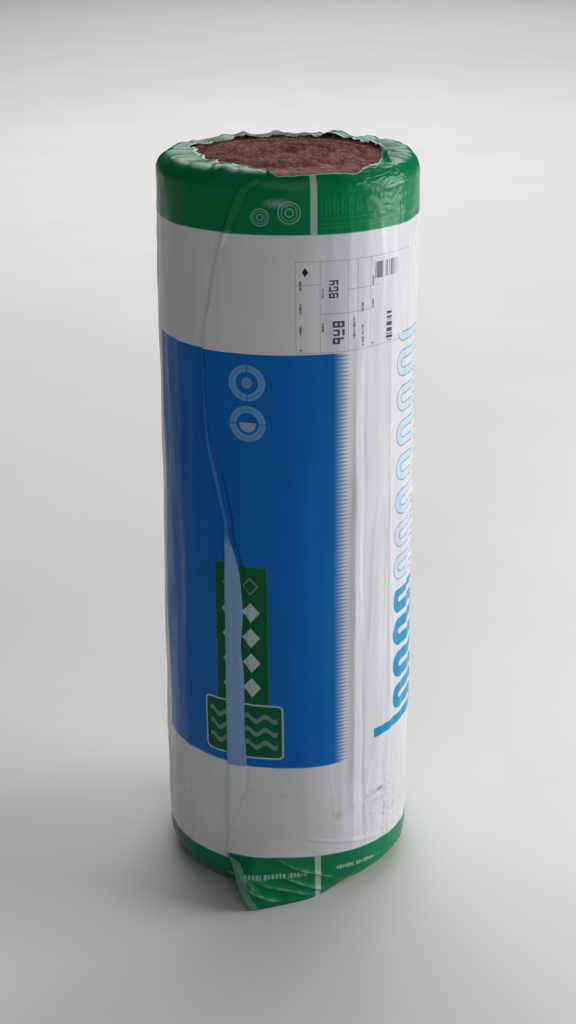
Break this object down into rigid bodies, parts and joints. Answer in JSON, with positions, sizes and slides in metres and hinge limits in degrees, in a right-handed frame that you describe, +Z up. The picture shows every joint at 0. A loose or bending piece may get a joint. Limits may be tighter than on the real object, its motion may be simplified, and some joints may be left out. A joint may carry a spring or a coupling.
{
  "type": "insulation roll",
  "caption": "Compressed mineral-wool insulation felt wound into a roll and wrapped in a printed film sleeve, standing on its end.",
  "frame": {"origin": "centre of the base on the roll's axis, at the floor", "axes": "+Z up along the roll's axis, -Y towards the printed front, +X to the right of that front"},
  "size_m": [0.4076, 0.4449, 1.2],
  "materials": {
    "wool": "brown glass-wool felt, matt and fibrous, cut across its layers at both ends",
    "film": "thin white polyethylene film with a soft gloss, printed green at both ends and blue over the front"
  },
  "bodies": {
    "root": {"wool_roll": "wool", "film_wrap": "film"}
  },
  "joints": []
}
